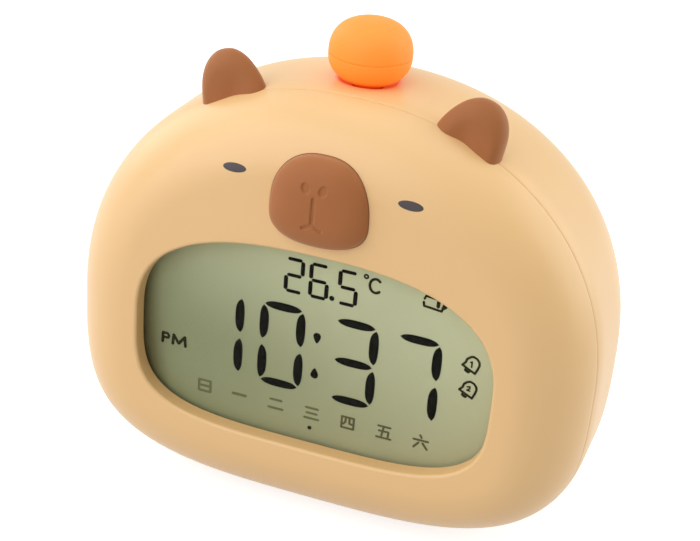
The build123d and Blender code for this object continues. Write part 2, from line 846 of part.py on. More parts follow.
def make_light_board():
    """Board of the night light, with its LED, switch, plunger and screws."""
    top = light_board_top
    post_sides = [side * light_post_x for side in (-1, 1)]
    with BuildPart() as light_board:
        add(block(-light_board_half_width, light_board_half_width, lamp_depth - light_board_half_depth,
                  lamp_depth + light_board_half_depth, light_board_low, top))
        for x in post_sides:
            add(column(x, small_screw_radius + hole_gap, light_board_low, top), mode=Mode.SUBTRACT)
    save(light_board.part, "light_board")
    with BuildPart() as light_led:
        add(block(-led_half, led_half, lamp_depth - led_half, lamp_depth + led_half, top, top + led_high))
        chamfer(light_led.faces().sort_by(Axis.Z)[-1].edges(), length=led_edge)
    save(light_led.part, "light_led")
    with BuildPart() as light_switch:
        add(block(light_switch_x - light_switch_half, light_switch_x + light_switch_half,
                  lamp_depth - light_switch_half, lamp_depth + light_switch_half,
                  top, top + light_switch_high))
        add(column(light_switch_x, light_bore, top + light_switch_floor,
                   top + light_switch_high + overrun), mode=Mode.SUBTRACT)
    save(light_switch.part, "light_switch")
    save(column(light_switch_x, light_plunger_radius, top + light_plunger_foot, neck_low),
         "light_plunger")
    with BuildPart() as light_screws:
        for x in post_sides:
            add(column(x, small_head_radius, light_board_low - small_head_high, light_board_low))
            add(column(x, small_screw_radius, light_board_low, light_board_low + small_screw_bite))
    save(light_screws.part, "light_board_screws")


# ---- speaker, battery, feet, screws ----

def make_speaker():
    """Small speaker behind the grille, on a foam ring."""
    place = [(0, speaker_z)]
    rim_back = case_depth - wall
    basket_front = speaker_front + speaker_step
    cone_front = basket_front + speaker_web
    with BuildPart() as frame:
        add(rod(place, speaker_radius, basket_front, rim_back - speaker_foam))
        add(rod(place, speaker_radius * speaker_magnet_share, speaker_front, basket_front))
        add(rod(place, speaker_radius - speaker_rim, cone_front, rim_back), mode=Mode.SUBTRACT)
    save(frame.part, "speaker_frame")
    with BuildPart() as cone:
        add(rod(place, speaker_radius - speaker_rim - cone_gap, cone_front, cone_front + cone_thick))
        add(rod(place, speaker_radius * cone_cap_share, cone_front, cone_front + cone_cap_thick))
    save(cone.part, "speaker_cone")
    with BuildPart() as gasket:
        add(rod(place, speaker_radius, rim_back - speaker_foam, rim_back))
        add(rod(place, speaker_radius - speaker_rim, rim_back - overrun, rim_back + overrun),
            mode=Mode.SUBTRACT)
    save(gasket.part, "speaker_gasket")


def make_battery():
    """Round cell lying across the clock in its tray."""
    cell_plane = Plane((0, face_y + cell_depth, cell_z), x_dir=(0, 1, 0), z_dir=(1, 0, 0))
    with BuildPart() as battery_cell:
        with BuildSketch(cell_plane):
            Circle(cell_radius)
        extrude(amount=cell_length / 2, both=True)
        fillet(battery_cell.edges().filter_by(GeomType.CIRCLE), radius=cell_edge)
    save(battery_cell.part, "battery_cell")
    with BuildPart() as battery_holder:
        add(block(-tray_half_length, tray_half_length, cell_depth - tray_half_depth,
                  cell_depth + tray_half_depth, tray_low, tray_high))
        with BuildSketch(cell_plane):
            Circle(cell_radius + tray_gap)
        extrude(amount=cell_length / 2 + tray_end_gap, both=True, mode=Mode.SUBTRACT)
    save(battery_holder.part, "battery_holder")


def make_feet():
    for row in foot_depths:
        for place, side in zip(foot_places(row), ("left", "right")):
            with BuildPart() as foot:
                with BuildSketch(Plane.XY):
                    with Locations(place):
                        Circle(foot_radius - foot_gap)
                extrude(amount=foot_tops[row])
                fillet(foot.edges().group_by(Axis.Z)[0], radius=foot_edge)
            save(foot.part, f"foot_{row}_{side}")


def make_screws():
    """Case screws from the back, and the small screws of the two upright boards."""
    board_back = main_board_depth + board_thick
    head_back = screw_seat_depth + screw_head_high
    with BuildPart() as case_screws:
        add(rod(case_posts, screw_head_radius, screw_seat_depth, head_back))
        add(rod(case_posts, screw_radius, screw_tip_depth, screw_seat_depth))
        for x, z in case_posts:
            for across, up in ((cross_half_length, cross_half_width), (cross_half_width, cross_half_length)):
                add(block(x - across, x + across, head_back - cross_deep, head_back, z - up, z + up),
                    mode=Mode.SUBTRACT)
    save(case_screws.part, "case_screws")
    with BuildPart() as board_screws:
        add(rod(board_posts, small_head_radius, board_back, board_back + small_head_high))
        add(rod(board_posts, small_screw_radius, main_board_depth - small_screw_bite, board_back))
    save(board_screws.part, "main_board_screws")
    with BuildPart() as key_screws:
        add(rod(key_posts, small_head_radius, key_board_depth - small_head_high, key_board_depth))
        add(rod(key_posts, small_screw_radius, key_board_depth, key_board_back + key_screw_bite))
    save(key_screws.part, "key_board_screws")


os.makedirs("parts", exist_ok=True)
case_outer = case_body(0.0)
case_inner = case_body(wall)

make_front_shell()
make_rear_shell()
for ear_side, word in ((-1, "left"), (1, "right")):
    make_ear(ear_side, f"ear_{word}")
    make_eye(ear_side, f"eye_{word}")
make_nose_button()
make_display()
make_lcd_holder()
make_main_board()
make_board_ribbon()
make_key_board()
make_switch("nose", 0, nose_level, main_board_depth, False)
for key_name, key_x in key_places.items():
    make_switch(key_name, key_x, key_z, key_board_back, True)
    make_key(key_name, key_x)
make_alarm_switch()
make_usb_socket()
make_sensor()
make_lamp()
make_light_board()
make_speaker()
make_battery()
make_feet()
make_screws()
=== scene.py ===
"""Looks of the bedside alarm clock: smooth shells, ears, nose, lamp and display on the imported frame.

Lengths are in millimetres, with depths measured back from the flat of the face and heights up from
the table. build() and carve() turn them into metres in the frame. The stage and the camera are in metres.
"""
import json
from math import cos, hypot, pi, radians, sin

import bmesh
import bpy
import numpy as np
from mathutils import Matrix, Vector
from mathutils.bvhtree import BVHTree


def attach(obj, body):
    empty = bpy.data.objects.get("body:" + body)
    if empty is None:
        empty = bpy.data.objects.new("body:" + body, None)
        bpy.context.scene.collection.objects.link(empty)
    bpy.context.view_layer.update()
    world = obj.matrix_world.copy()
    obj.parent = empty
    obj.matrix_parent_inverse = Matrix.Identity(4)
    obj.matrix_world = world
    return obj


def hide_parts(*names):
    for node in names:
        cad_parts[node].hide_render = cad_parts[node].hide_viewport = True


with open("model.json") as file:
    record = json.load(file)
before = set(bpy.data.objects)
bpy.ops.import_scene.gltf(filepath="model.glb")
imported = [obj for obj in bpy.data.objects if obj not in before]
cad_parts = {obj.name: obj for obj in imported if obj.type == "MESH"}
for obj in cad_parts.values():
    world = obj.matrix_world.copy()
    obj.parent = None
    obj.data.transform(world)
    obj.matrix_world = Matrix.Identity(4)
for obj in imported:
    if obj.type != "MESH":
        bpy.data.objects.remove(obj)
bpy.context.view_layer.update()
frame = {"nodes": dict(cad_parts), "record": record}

MM = 0.001
CASE_DEPTH = 51.3
NOSE_PROUD = 4.0                 # how far the nose stands out of the face
KEY_PROUD = 1.0                  # how far the rear keys stand out of the back
FACE_Y = (NOSE_PROUD - KEY_PROUD - CASE_DEPTH) / 2

# half width, level of the widest line, rise and its power, drop and its power
CASE = (62.0, 45.1, 57.7, 2.15, 44.1, 3.25)
WINDOW = (42.0, 45.8, 24.2, 2.6, 24.1, 3.8)
NOSE = (11.2, 79.7, 13.35, 2.48, 6.95, 2.4)
HUB = 45.5                       # the case and window rings are star-shaped about this height
WALL = 2.2
SEAM = 14.0                      # depth at which the two shells meet
SEAM_MOUTH = 0.12                # half width of the seam at the surface
# distance under the surface and half width of the seam there
SEAM_GROOVE = [(0.03, 0.06), (0.3, 0.05), (0.45, 0.02), (WALL, 0.02)]
FRONT_ACROSS, FRONT_DEEP = 16.5, 19.0    # reach of the front edge's rounding, inward and back
BACK_ACROSS, BACK_DEEP = 8.6, 20.2       # reach of the back edge's rounding, inward and forward
WINDOW_RECESS = 3.8
WINDOW_LIP = 0.8                 # radius of the window's rounded edge
COLLAR = 2.4                     # thickness of the collar round the window
GLASS_DEPTH = 4.9
LAMP_DEPTH = 25.7
LAMP_LEVEL = 108.4               # height of the lamp's parting line
NECK, NECK_END = 3.4, 94.0       # radius of the lamp's neck and height of its lower end
NECK_HOLE = 3.7
# radius, height and power of the dome, the base and the dish in the case that the base sinks into
DOME = (9.25, 7.9, 2.44)
BASE = (9.25, 6.9, 2.2)
DISH = (9.6, 7.65, 2.2)


# ---------------------------------------------------------------- finishes

def srgb(red, green, blue):
    """Linear colour of an 8-bit screen colour."""
    def linear(value):
        value /= 255
        return value / 12.92 if value <= 0.04045 else ((value + 0.055) / 1.055) ** 2.4
    return (linear(red), linear(green), linear(blue), 1.0)


def new_material(name):
    """A material with its nodes, links, shader and place socket."""
    material = bpy.data.materials.new(name)
    material.use_nodes = True
    nodes, links = material.node_tree.nodes, material.node_tree.links
    shader = nodes["Principled BSDF"]
    coordinates = nodes.new("ShaderNodeTexCoord")
    return material, nodes, links, shader, coordinates.outputs["Object"]


def noise(nodes, links, here, scale):
    """Cloudy values between 0 and 1."""
    texture = nodes.new("ShaderNodeTexNoise")
    texture.inputs["Scale"].default_value = scale
    texture.inputs["Detail"].default_value = 2.0
    links.new(here, texture.inputs["Vector"])
    return texture.outputs["Fac"]


def mixed(nodes, links, factor, first, second):
    """Colour between two colours, each a socket or a plain colour."""
    mix = nodes.new("ShaderNodeMix")
    mix.data_type = "RGBA"
    links.new(factor, mix.inputs["Factor"])
    for socket, value in ((mix.inputs[6], first), (mix.inputs[7], second)):
        if isinstance(value, bpy.types.NodeSocket):
            links.new(value, socket)
        else:
            socket.default_value = value
    return mix.outputs[2]


def scaled(nodes, links, value, factor):
    """A value socket times a number or another value socket."""
    product = nodes.new("ShaderNodeMath")
    product.operation = "MULTIPLY"
    links.new(value, product.inputs[0])
    if isinstance(factor, bpy.types.NodeSocket):
        links.new(factor, product.inputs[1])
    else:
        product.inputs[1].default_value = factor
    return product.outputs["Value"]


def moulded(name, colour, roughness, metallic=0.0, mottle=0.04, patch=60.0, **sockets):
    """A plain finish with a faint cloudiness and a fine surface grain."""
    grain, grain_depth, grain_strength = 2500.0, 0.00001, 0.25
    material, nodes, links, shader, here = new_material(name)
    low = tuple(channel * (1 - mottle) for channel in colour[:3]) + (1.0,)
    high = tuple(min(1.0, channel * (1 + mottle)) for channel in colour[:3]) + (1.0,)
    cloud = noise(nodes, links, here, patch)
    links.new(mixed(nodes, links, cloud, low, high), shader.inputs["Base Color"])
    shader.inputs["Roughness"].default_value = roughness
    shader.inputs["Metallic"].default_value = metallic
    bump = nodes.new("ShaderNodeBump")
    bump.inputs["Strength"].default_value = grain_strength
    bump.inputs["Distance"].default_value = grain_depth
    links.new(noise(nodes, links, here, grain), bump.inputs["Height"])
    links.new(bump.outputs["Normal"], shader.inputs["Normal"])
    for socket, value in sockets.items():
        shader.inputs[socket.replace("_", " ")].default_value = value
    return material


def axis_ramp(nodes, links, here, direction, low, high):
    """0 to 1 between two distances along a direction, in metres."""
    dot = nodes.new("ShaderNodeVectorMath")
    dot.operation = "DOT_PRODUCT"
    links.new(here, dot.inputs[0])
    dot.inputs[1].default_value = direction
    ramp = nodes.new("ShaderNodeMapRange")
    ramp.interpolation_type = "SMOOTHSTEP"
    ramp.inputs["From Min"].default_value = low
    ramp.inputs["From Max"].default_value = high
    links.new(dot.outputs["Value"], ramp.inputs["Value"])
    return ramp.outputs["Result"]


def paint_lamp_glow_in_dish(material):
    """Paints the lamp's orange light and contact shade on the case inside the dish under the lamp, and makes
    the case there glow a little as painted light.
    """
    outer, inner = 7.5 * MM, 6.5 * MM
    low, high = 99 * MM, 100 * MM
    nodes, links = material.node_tree.nodes, material.node_tree.links
    shader, here = nodes["Principled BSDF"], nodes["Texture Coordinate"].outputs["Object"]
    plain = shader.inputs["Base Color"].links[0].from_socket
    flat, reach = nodes.new("ShaderNodeVectorMath"), nodes.new("ShaderNodeVectorMath")
    flat.operation, reach.operation = "MULTIPLY", "DISTANCE"
    flat.inputs[1].default_value = (1, 1, 0)
    reach.inputs[1].default_value = (0, (FACE_Y + LAMP_DEPTH) * MM, 0)
    links.new(here, flat.inputs[0])
    links.new(flat.outputs["Vector"], reach.inputs[0])
    inside = nodes.new("ShaderNodeMapRange")
    inside.inputs["From Min"].default_value = outer
    inside.inputs["From Max"].default_value = inner
    links.new(reach.outputs["Value"], inside.inputs["Value"])
    above = axis_ramp(nodes, links, here, (0, 0, 1), low, high)
    # painted orange light and contact shade of the lamp, inside the dish and above 99 mm
    painted_glow = scaled(nodes, links, inside.outputs["Result"], above)
    links.new(mixed(nodes, links, painted_glow, plain, srgb(214, 100, 40)), shader.inputs["Base Color"])
    # painted glow: the cream case shines orange there with the lamp's light
    shader.inputs["Emission Color"].default_value = (1.0, 0.16, 0.01, 1.0)
    links.new(scaled(nodes, links, painted_glow, 0.22), shader.inputs["Emission Strength"])


def display_finish():
    """Grey-green display, with painted light and shade: a painted shadow of the window's wall darkens the
    left edge, and a painted reflection makes it paler towards the right and the top.
    """
    material, nodes, links, shader, here = new_material("display_face")
    # painted reflection: paler towards the right and the top
    across = axis_ramp(nodes, links, here, (1, 0, 0), -0.044, 0.044)
    wall_shadow = axis_ramp(nodes, links, here, (1, 0, 0.12), -0.038, -0.031)
    upwards = axis_ramp(nodes, links, here, (0.3, 0, 1), 0.030, 0.078)
    body = mixed(nodes, links, across, srgb(146, 153, 112), srgb(188, 188, 145))
    body = mixed(nodes, links, upwards, body, srgb(216, 222, 178))
    # painted shadow of the window's wall along the left edge
    shade = mixed(nodes, links, wall_shadow, srgb(106, 100, 64), body)
    cloud = noise(nodes, links, here, 90.0)
    darker = mixed(nodes, links, cloud, shade, srgb(150, 152, 110))
    soft = nodes.new("ShaderNodeMix")
    soft.data_type = "RGBA"
    soft.inputs["Factor"].default_value = 0.12
    links.new(shade, soft.inputs[6])
    links.new(darker, soft.inputs[7])
    links.new(soft.outputs[2], shader.inputs["Base Color"])
    shader.inputs["Roughness"].default_value = 0.5
    shader.inputs["Specular IOR Level"].default_value = 0.15
    return material


def lamp_finish(name, top, bottom, low, high, fade=None):
    """Satin orange that glows a little, from a bottom colour at a low to a top colour at a high height.

    Down from the upper to the lower fade height the glow turns dark red, and just under the lower one
    the colour darkens as painted shade in the gap between the base and the dish.
    """
    material, nodes, links, shader, here = new_material(name)
    upwards = axis_ramp(nodes, links, here, (0, 0, 1), low * MM, high * MM)
    colour = mixed(nodes, links, upwards, bottom, top)
    cloud = scaled(nodes, links, noise(nodes, links, here, 150.0), 0.3)
    body = mixed(nodes, links, cloud, colour, srgb(250, 150, 70))
    light = colour
    if fade:
        # painted shade: darker red low on the neck, in the gap between the base and the dish
        gap_shade = axis_ramp(nodes, links, here, (0, 0, 1), (fade[0] - 0.9) * MM, (fade[0] - 0.3) * MM)
        body = mixed(nodes, links, gap_shade, srgb(190, 74, 22), body)
        lit = axis_ramp(nodes, links, here, (0, 0, 1), fade[0] * MM, fade[1] * MM)
        light = mixed(nodes, links, lit, (0.30, 0.02, 0.0, 1.0), colour)
    links.new(body, shader.inputs["Base Color"])
    links.new(light, shader.inputs["Emission Color"])
    shader.inputs["Emission Strength"].default_value = 0.3
    shader.inputs["Roughness"].default_value = 0.55
    shader.inputs["Specular IOR Level"].default_value = 0.3
    shader.inputs["Subsurface Weight"].default_value = 0.15
    shader.inputs["Subsurface Radius"].default_value = (0.004, 0.0018, 0.0006)
    return material


def lens_finish():
    """A clear window, which lets nearly all of the display through."""
    material, nodes, links, shader, here = new_material("clear_window")
    shader.inputs["Base Color"].default_value = (0.05, 0.05, 0.04, 1)
    shader.inputs["Roughness"].default_value = 0.05
    haze = noise(nodes, links, here, 40.0)
    ramp = nodes.new("ShaderNodeMapRange")
    ramp.inputs["To Min"].default_value = 0.02
    ramp.inputs["To Max"].default_value = 0.05
    links.new(haze, ramp.inputs["Value"])
    links.new(ramp.outputs["Result"], shader.inputs["Alpha"])
    return material


# roughness and metal of the plain finishes
SLOT_LOOKS = {
    "matte_plastic": (0.5, 0.0),
    "gloss_plastic": (0.25, 0.0),
    "rubber": (0.8, 0.0),
    "brushed_steel": (0.35, 0.9),
    "chrome": (0.2, 1.0),
    "glass": (0.05, 0.0),
}

finishes = {}
for entry in frame["record"]["materials"]:
    rough, metal = SLOT_LOOKS.get(entry["class"], (0.5, 0.0))
    finishes[entry["slot"]] = moulded(entry["slot"] + "_look", tuple(entry["base_color"][:3]) + (1.0,),
                                      rough, metal, mottle=0.08)
finishes["cream_shell"] = moulded("cream_look", srgb(236, 194, 134), 0.36, mottle=0.012, patch=25.0)
# painted orange light, glow and contact shade from the lamp on the case in the dish under it
paint_lamp_glow_in_dish(finishes["cream_shell"])
SATIN = {"Specular_IOR_Level": 0.3, "Sheen_Weight": 0.4, "Sheen_Roughness": 0.45,
         "Sheen_Tint": (1.0, 0.82, 0.6, 1.0)}
finishes["brown_ear"] = moulded("ear_look", srgb(162, 100, 53), 0.6, mottle=0.03, patch=40.0, **SATIN)
finishes["brown_nose"] = moulded("nose_look", srgb(166, 102, 54), 0.6, mottle=0.02, patch=40.0, **SATIN)
finishes["key_brown"] = moulded("key_look", srgb(170, 104, 62), 0.45, mottle=0.02)
finishes["black_tape"] = moulded("tape_look", srgb(152, 128, 84), 0.7, mottle=0.05, patch=300.0)
finishes["eye_black"] = moulded("eye_look", srgb(58, 48, 48), 0.4, mottle=0.05, patch=300.0)
finishes["lcd_glass"] = display_finish()
finishes["clear_lens"] = lens_finish()
finishes["lamp_dome_orange"] = lamp_finish("dome_look", srgb(250, 146, 58), srgb(250, 141, 44),
                                           LAMP_LEVEL, LAMP_LEVEL + 8)
finishes["lamp_base_orange"] = lamp_finish("base_look", srgb(250, 141, 44), srgb(252, 128, 28),
                                           LAMP_LEVEL - 6, LAMP_LEVEL, (102.2, 104.2))
segment_black = moulded("segment_black", srgb(10, 9, 4), 0.7, mottle=0.1, Specular_IOR_Level=0.05)
segment_faint = moulded("segment_faint", srgb(112, 114, 76), 0.6, mottle=0.06, Specular_IOR_Level=0.1)
segment_half = moulded("segment_half", srgb(44, 42, 20), 0.6, mottle=0.06, Specular_IOR_Level=0.05)
segment_weak = moulded("segment_weak", srgb(98, 96, 60), 0.6, mottle=0.06, Specular_IOR_Level=0.1)
mark_brown = moulded("mark_brown", srgb(150, 96, 60), 0.5, mottle=0.05)

for node in frame["nodes"].values():
    for slot_in_mesh in node.material_slots:
        stem = slot_in_mesh.material.name.split(".")[0] if slot_in_mesh.material else ""
        if stem in finishes:
            slot_in_mesh.material = finishes[stem]


# ---------------------------------------------------------------- meshes

def build(name, points, faces, look, slot, body, replaced=(), sharp=35.0):
    """Makes a closed piece from (x, depth, z) points, which rides on a body of the frame.

    Edges that bend by more than the sharp angle, in degrees, stay sharp; with None all are smooth.
    """
    mesh = bpy.data.meshes.new(name)
    where = np.asarray(points, float) + (0, FACE_Y, 0)
    mesh.from_pydata((where * MM).tolist(), [], faces)
    cleaned = bmesh.new()
    cleaned.from_mesh(mesh)
    bmesh.ops.recalc_face_normals(cleaned, faces=cleaned.faces)
    cleaned.to_mesh(mesh)
    cleaned.free()
    mesh.materials.append(look)
    mesh.shade_smooth()
    if sharp is not None:
        mesh.set_sharp_from_angle(angle=radians(sharp))
    piece = bpy.data.objects.new(name, mesh)
    bpy.context.scene.collection.objects.link(piece)
    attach(piece, body)
    if replaced:
        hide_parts(*replaced)
    return piece


def lattice(rings, closed=False, capped=False):
    """Points and faces of a stack of rings that all have the same number of points."""
    count = len(rings[0])
    points = np.vstack(rings)
    faces = []
    for row in range(len(rings) if closed else len(rings) - 1):
        near, far = row * count, ((row + 1) % len(rings)) * count
        for column in range(count):
            after = (column + 1) % count
            faces.append((near + column, near + after, far + after, far + column))
    if capped:
        last = (len(rings) - 1) * count
        faces.append(tuple(range(count)))
        faces.append(tuple(range(last, last + count)))
    return points, faces


def egg(shape, inset, angles, hub):
    """Points of an egg-like outline, moved inward along its normals, at given angles about a hub."""
    half_width, level, rise, rise_power, drop, drop_power = shape
    turn = np.linspace(0, 2 * pi, 2881)[:-1]
    c, s = np.cos(turn), np.sin(turn)
    height = np.where(s >= 0, rise, drop)
    power = np.where(s >= 0, rise_power, drop_power)
    x = half_width * np.sign(c) * np.abs(c) ** (2 / power)
    z = height * np.sign(s) * np.abs(s) ** (2 / power)
    normal_x = np.sign(x) * np.abs(x / half_width) ** (power - 1) / half_width
    normal_z = np.sign(z) * np.abs(z / height) ** (power - 1) / height
    length = np.hypot(normal_x, normal_z)
    x = x - inset * normal_x / length
    z = z - inset * normal_z / length + level - hub
    radius = np.interp(angles, np.arctan2(z, x) % (2 * pi), np.hypot(x, z), period=2 * pi)
    return np.column_stack([radius * np.cos(angles), hub + radius * np.sin(angles)])


def at_depth(flat, depth):
    """A flat outline as (x, depth, z) points; depth is one number or one for each point."""
    return np.column_stack([flat[:, 0], np.broadcast_to(depth, len(flat)), flat[:, 1]])


AROUND = np.linspace(0, 2 * pi, 289)[:-1]    # angles of the points on each ring of the case


def case_ring(inset, depth):
    """The outline of the case, moved inward."""
    return at_depth(egg(CASE, inset, AROUND, HUB), depth)


def window_ring(inset, depth):
    """The outline of the window, moved inward."""
    return at_depth(egg(WINDOW, inset, AROUND, HUB), depth)


def blend_rings(first, last, steps):
    """Rings in between two rings, without those two."""
    return [first + (last - first) * step / steps for step in range(1, steps)]


def front_inset(depth):
    """How far the rounded front edge lies inside the widest outline at a depth."""
    if depth >= FRONT_DEEP:
        return 0.0
    return FRONT_ACROSS * (1 - (1 - (1 - depth / FRONT_DEEP) ** 2) ** 0.5)


def back_inset(depth):
    """How far the rounded back edge lies inside the widest outline at a depth."""
    past = (depth - (CASE_DEPTH - BACK_DEEP)) / BACK_DEEP
    return 0.0 if past <= 0 else BACK_ACROSS * (1 - (1 - min(past, 1.0) ** 2) ** 0.5)


def front_shell_mesh():
    """From the window's bottom over its edge, the face and the rounded edge to the seam, and back inside."""
    rings = [window_ring(0, WINDOW_RECESS)]
    for step in range(9):
        turn = radians(90 * step / 8)
        rings.append(window_ring(-WINDOW_LIP * (1 - cos(turn)), WINDOW_LIP * (1 - sin(turn))))
    flat_edge = case_ring(FRONT_ACROSS, 0)
    rings += blend_rings(rings[-1], flat_edge, 10)
    for step in range(41):
        depth = FRONT_DEEP * (1 - cos(radians(90 * step / 40)))
        if depth < SEAM - 0.3:
            rings.append(case_ring(front_inset(depth), depth))
    rings.append(case_ring(front_inset(SEAM - SEAM_MOUTH), SEAM - SEAM_MOUTH))
    rings += [case_ring(front_inset(SEAM) + inset, SEAM - half) for inset, half in SEAM_GROOVE]
    for step in range(8, -1, -1):
        depth = 11.0 * step / 8
        rings.append(case_ring(front_inset(depth) + WALL, depth + WALL))
    rings.append(window_ring(-COLLAR, WALL))
    rings.append(window_ring(-COLLAR, WINDOW_RECESS))
    return lattice(rings, closed=True)


def rear_shell_mesh():
    """From the seam over the sides to the middle of the back, and inside back to the seam."""
    rings = [case_ring(front_inset(SEAM) + inset, SEAM + half) for inset, half in SEAM_GROOVE[::-1]]
    rings.append(case_ring(front_inset(SEAM + SEAM_MOUTH), SEAM + SEAM_MOUTH))
    for depth in (15, 16, 17, 18, 19, 22, 25, 28, CASE_DEPTH - BACK_DEEP):
        rings.append(case_ring(front_inset(depth), depth))
    for step in range(1, 33):
        depth = CASE_DEPTH - BACK_DEEP + BACK_DEEP * sin(radians(90 * step / 32))
        rings.append(case_ring(back_inset(depth), depth))
    hub_ring = at_depth(np.column_stack([2 * np.cos(AROUND), HUB + 2 * np.sin(AROUND)]), CASE_DEPTH)
    rings += blend_rings(rings[-1], hub_ring, 8) + [hub_ring]
    inner = [hub_ring - (0, WALL, 0)]
    for step in range(12, -1, -1):
        depth = CASE_DEPTH - BACK_DEEP + BACK_DEEP * sin(radians(90 * step / 12))
        inner.append(case_ring(back_inset(depth) + WALL, depth - WALL))
    inner.append(case_ring(WALL, 21.0))
    points, faces = lattice(rings + inner)
    count = len(AROUND)
    total = len(rings + inner)
    for column in range(count):
        after = (column + 1) % count
        faces.append((total * count - count + column, total * count - count + after, after, column))
    # the band between the outer and the inner hub ring gives way to a plate across each of them
    hub = (len(rings) - 1) * count
    faces = [face for face in faces if not (hub <= face[0] < hub + count and face[2] >= hub + count)]
    faces.append(tuple(range(hub, hub + count)))
    faces.append(tuple(range(hub + count, hub + 2 * count)))
    return points, faces


def prism(flat, low, high):
    """Points and faces of a straight bar along the depth."""
    return lattice([at_depth(flat, low), at_depth(flat, high)], capped=True)


def merged(parts):
    """One list of points and faces from several."""
    points, faces, base = [], [], 0
    for some_points, some_faces in parts:
        points.append(some_points)
        faces += [tuple(index + base for index in face) for face in some_faces]
        base += len(some_points)
    return np.vstack(points), faces


def circle(x, z, radius, count=32):
    """A round outline."""
    turn = np.linspace(0, 2 * pi, count + 1)[:-1]
    return np.column_stack([x + radius * np.cos(turn), z + radius * np.sin(turn)])


def pill(x, z, width, height, corner):
    """A rectangle with round corners."""
    points = []
    for index, (sign_x, sign_z) in enumerate(((1, 1), (-1, 1), (-1, -1), (1, -1))):
        for step in range(9):
            turn = radians(90 * index + 90 * step / 8)
            points.append((x + sign_x * (width / 2 - corner) + corner * cos(turn),
                           z + sign_z * (height / 2 - corner) + corner * sin(turn)))
    return np.array(points)


def turned(profile, count=128):
    """A closed shape turned about the lamp's upright axis, from (radius, z) points."""
    turn = np.linspace(0, 2 * pi, count + 1)[:-1]
    rings = []
    for radius, z in profile:
        rings.append(np.column_stack([radius * np.cos(turn), LAMP_DEPTH + radius * np.sin(turn),
                                      np.full(count, z)]))
    return lattice(rings, capped=True)


def lamp_arc(shape, steps=36):
    """Radius and distance from the parting line, from there to the pole."""
    radius, height, power = shape
    arc = []
    for step in range(steps + 1):
        turn = radians(90 * step / steps)
        arc.append((max(radius * cos(turn) ** (2 / power), 0.05), height * sin(turn) ** (2 / power)))
    return arc


SKIN_GAP = 0.04 * MM             # a face this near to the uncut surface is still a part of it
CORNER_PULL = 0.02               # a corner is looked up this share of the way to its face's centre
SAME_LEAN = 0.95                 # least cosine between a face's own normal and the smooth one it gets


def carve(piece, cutter_mesh):
    """Cuts shapes out of a piece and keeps the smooth shading of its curved surface."""
    source = piece.data
    smooth = BVHTree.FromPolygons([v.co.copy() for v in source.vertices],
                                  [tuple(p.vertices) for p in source.polygons])
    corner_normals = [Vector(n.vector) for n in source.corner_normals]
    loops_of = [list(p.loop_indices) for p in source.polygons]
    corners = [[source.vertices[v].co.copy() for v in p.vertices] for p in source.polygons]
    points, faces = cutter_mesh
    mesh = bpy.data.meshes.new("cutter")
    mesh.from_pydata(((np.asarray(points) + (0, FACE_Y, 0)) * MM).tolist(), [], faces)
    helper = bmesh.new()
    helper.from_mesh(mesh)
    bmesh.ops.recalc_face_normals(helper, faces=helper.faces)
    helper.to_mesh(mesh)
    helper.free()
    cutter = bpy.data.objects.new("cutter", mesh)
    bpy.context.scene.collection.objects.link(cutter)
    modifier = piece.modifiers.new("carve", "BOOLEAN")
    modifier.object = cutter
    modifier.solver = "EXACT"
    evaluated = piece.evaluated_get(bpy.context.evaluated_depsgraph_get())
    carved = bpy.data.meshes.new_from_object(evaluated)
    piece.modifiers.clear()
    bpy.data.objects.remove(cutter)
    bpy.data.meshes.remove(mesh)
    piece.data = carved
    carved.shade_smooth()
    normals = [None] * len(carved.loops)
    for polygon in carved.polygons:
        gap_of_centre = smooth.find_nearest(polygon.center)[3]
        for index in polygon.loop_indices:
            spot = carved.vertices[carved.loops[index].vertex_index].co
            _, _, number, gap = smooth.find_nearest(spot + (polygon.center - spot) * CORNER_PULL)
            normal = polygon.normal
            if gap < SKIN_GAP and gap_of_centre < SKIN_GAP:
                weights = [1 / ((corner - spot).length + 1e-6) ** 2 for corner in corners[number]]
                pairs = zip(loops_of[number], weights)
                lean = sum((corner_normals[loop] * weight for loop, weight in pairs), Vector()).normalized()
                if lean.dot(polygon.normal) > SAME_LEAN:
                    normal = lean
            normals[index] = normal
    carved.normals_split_custom_set(normals)


# ---------------------------------------------------------------- case

nose_around = np.linspace(0, 2 * pi, 145)[:-1]
front_shell = build("front_shell_skin", *front_shell_mesh(), finishes["cream_shell"], "cream_shell",
                    "case", ["front_shell"], 50)
carve(front_shell, prism(egg(NOSE, -0.12, nose_around, NOSE[1]), -1, 6))

rear_shell = build("rear_shell_skin", *rear_shell_mesh(), finishes["cream_shell"], "cream_shell",
                   "case", ["rear_shell"], 50)
KEY_Z, LOW_ROW_Z = 75.0, 59.0
# distance of each rear key to the right of the middle, for a viewer who faces the clock
KEY_PLACES = {"SET": -24.0, "ALARM": -8.0, "UP": 8.0, "DOWN": 24.0}
SOUND_Z, SOUND_HOLE, SOUND_STEP = 31.0, 0.8, 3.4     # level, hole radius and distance between rings
through = (46.0, 53.0)
cuts = [prism(pill(x, KEY_Z, 12.4, 6.8, 3.35), *through) for x in KEY_PLACES.values()]
cuts.append(prism(pill(20.0, LOW_ROW_Z, 6.8, 3.4, 0.2), *through))      # slot of the alarm switch
cuts.append(prism(pill(-20.0, LOW_ROW_Z, 9.8, 4.0, 1.95), *through))    # charging socket
cuts.append(prism(circle(0, SOUND_Z, SOUND_HOLE, 20), *through))
for ring in (1, 2, 3):
    out = SOUND_STEP * ring
    for index in range(6 * ring):
        turn = 2 * pi * index / (6 * ring)
        cuts.append(prism(circle(out * cos(turn), SOUND_Z + out * sin(turn), SOUND_HOLE, 20), *through))
WELL_RADIUS = 2.8
WELLS = [(side * x, z) for side in (-1, 1) for x, z in ((42.0, 13.0), (38.0, 81.0))]
